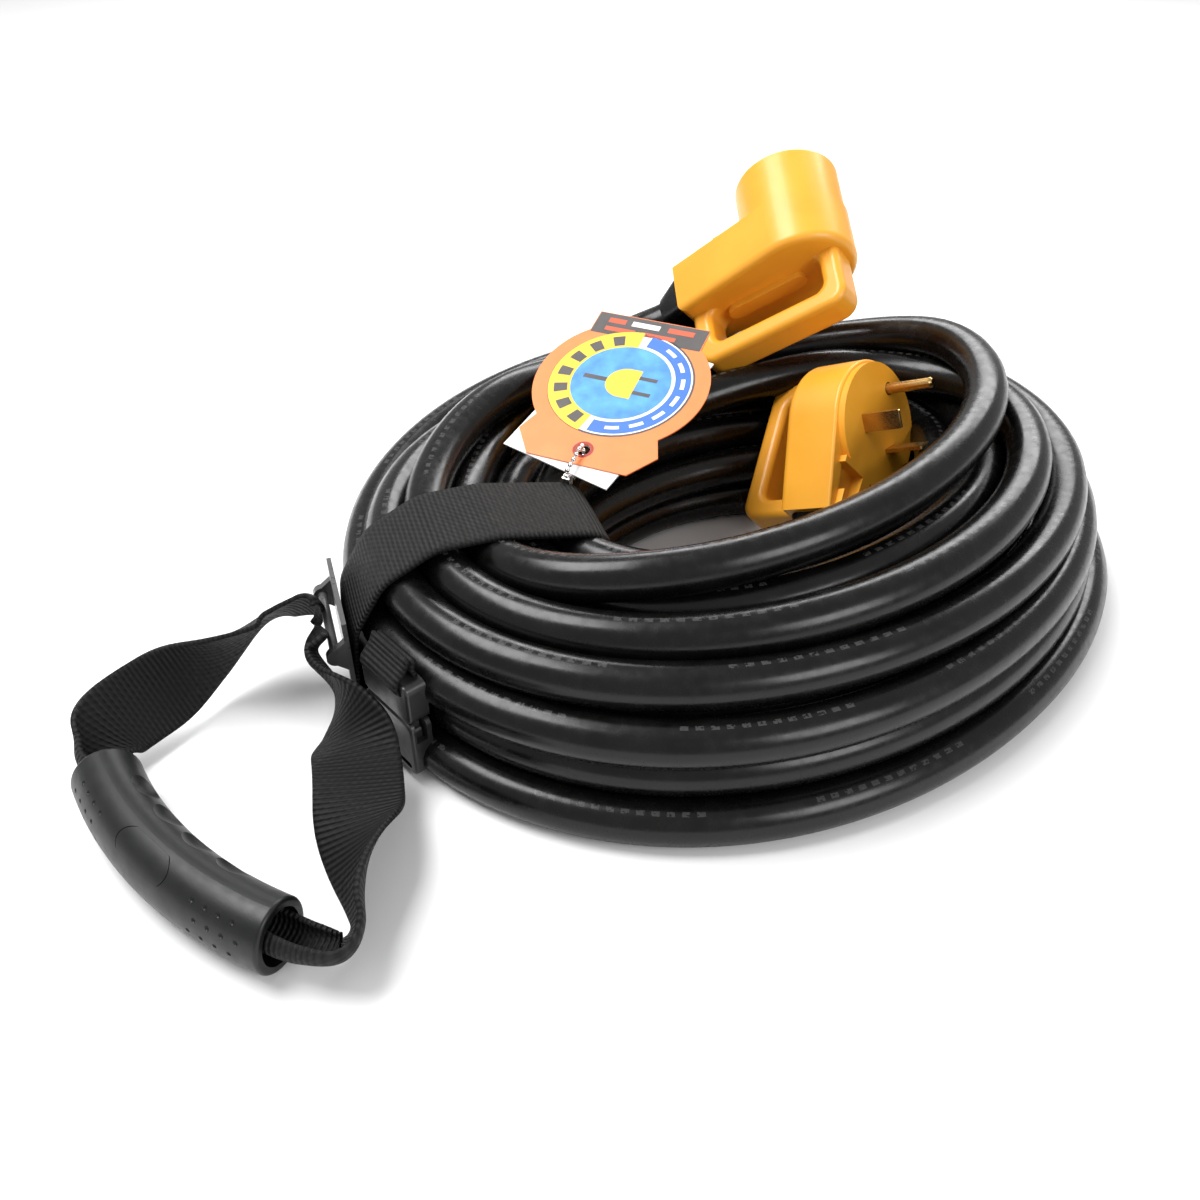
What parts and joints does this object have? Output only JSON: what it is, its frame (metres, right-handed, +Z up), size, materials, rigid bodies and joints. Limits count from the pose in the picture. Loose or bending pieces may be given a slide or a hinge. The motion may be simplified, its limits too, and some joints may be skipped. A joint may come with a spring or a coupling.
{
  "type": "shore power cord",
  "caption": "Coiled black caravan power cord with an orange three-pin plug and connector, a buckled webbing strap, a carry loop with a moulded grip and a hang tag.",
  "frame": {"origin": "on the surface that the coil lies on, under the middle of the whole object's box", "axes": "+Z up from that surface; +X to the coil's right, away from the carry loop; +Y to its back, where the connector rests"},
  "size_m": [0.4214, 0.3538, 0.1539],
  "materials": {
    "cord_jacket": "glossy",
    "head_plastic": "satin",
    "insulator": "matte",
    "brass_contact": "polished",
    "green_core": "satin",
    "black_core": "satin",
    "white_core": "satin",
    "collar_metal": "satin",
    "webbing": "woven",
    "buckle_plastic": "satin",
    "grip_rubber": "satin",
    "tag_card": null,
    "white_card": "matte",
    "chain_metal": "polished"
  },
  "bodies": {
    "cord": {"buckle_housing": "buckle_plastic", "bundle_strap": "webbing", "cable_coil": "cord_jacket", "connector_contact_carrier": "insulator", "connector_cord_clamp": "collar_metal", "connector_front_shell": "head_plastic", "connector_ground_contact": "brass_contact", "connector_ground_wire": "green_core", "connector_hot_contact": "brass_contact", "connector_hot_wire": "black_core", "connector_lead": "cord_jacket", "connector_neutral_contact": "brass_contact", "connector_neutral_wire": "white_core", "connector_rear_shell": "head_plastic", "connector_strain_relief": "cord_jacket", "plug_cord_clamp": "collar_metal", "plug_front_shell": "head_plastic", "plug_ground_pin": "brass_contact", "plug_ground_wire": "green_core", "plug_hot_blade": "brass_contact", "plug_hot_wire": "black_core", "plug_lead": "cord_jacket", "plug_neutral_blade": "brass_contact", "plug_neutral_wire": "white_core", "plug_pin_carrier": "insulator", "plug_rear_shell": "head_plastic", "plug_strain_relief": "cord_jacket", "strap_slide": "buckle_plastic"},
    "carry_loop": {"carry_webbing": "webbing"},
    "loop_grip": {"grip": "grip_rubber", "grip_badge": "grip_rubber"},
    "buckle_tongue": {"buckle_insert": "buckle_plastic", "buckle_insert_tab": "webbing"},
    "release_arm_left": {"buckle_arm_left": "buckle_plastic"},
    "release_arm_right": {"buckle_arm_right": "buckle_plastic"},
    "tag": {"hang_tag": "tag_card", "backing_card": "white_card", "ball_chain": "chain_metal", "chain_clasp": "chain_metal"}
  },
  "joints": [
    {"name": "carry_loop_swing", "type": "hinge", "parent": "cord", "child": "carry_loop", "pos_m": [-0.12885, -0.04197, 0.036], "axis": [-0.309, 0.9511, 0], "range_deg": [0, 90]},
    {"name": "grip_slide", "type": "hinge", "parent": "carry_loop", "child": "loop_grip", "pos_m": [-0.05471, -0.01072, 0.0135], "axis": [0, 0, 1], "range_deg": [-4, 4]},
    {"name": "buckle_release", "type": "slide", "parent": "cord", "child": "buckle_tongue", "axis": [0, 0, 1], "range_m": [0, 0.02]},
    {"name": "arm_left_press", "type": "hinge", "parent": "buckle_tongue", "child": "release_arm_left", "pos_m": [-0.10487, -0.0698, 0.0314], "axis": [-0.7507, -0.6606, 0], "range_deg": [0, 8], "stiffness_Nm_per_rad": 0.05},
    {"name": "arm_right_press", "type": "hinge", "parent": "buckle_tongue", "child": "release_arm_right", "pos_m": [-0.09271, -0.08361, 0.0314], "axis": [0.7507, 0.6606, 0], "range_deg": [0, 8], "stiffness_Nm_per_rad": 0.05},
    {"name": "tag_swing", "type": "hinge", "parent": "cord", "child": "tag", "pos_m": [-0.03716, 0.01105, 0.07005], "axis": [0.9124, -0.4092, 0], "range_deg": [0, 60]}
  ],
  "couplings": [
    {"joint": "arm_right_press", "follows": "arm_left_press", "ratio": 1}
  ]
}
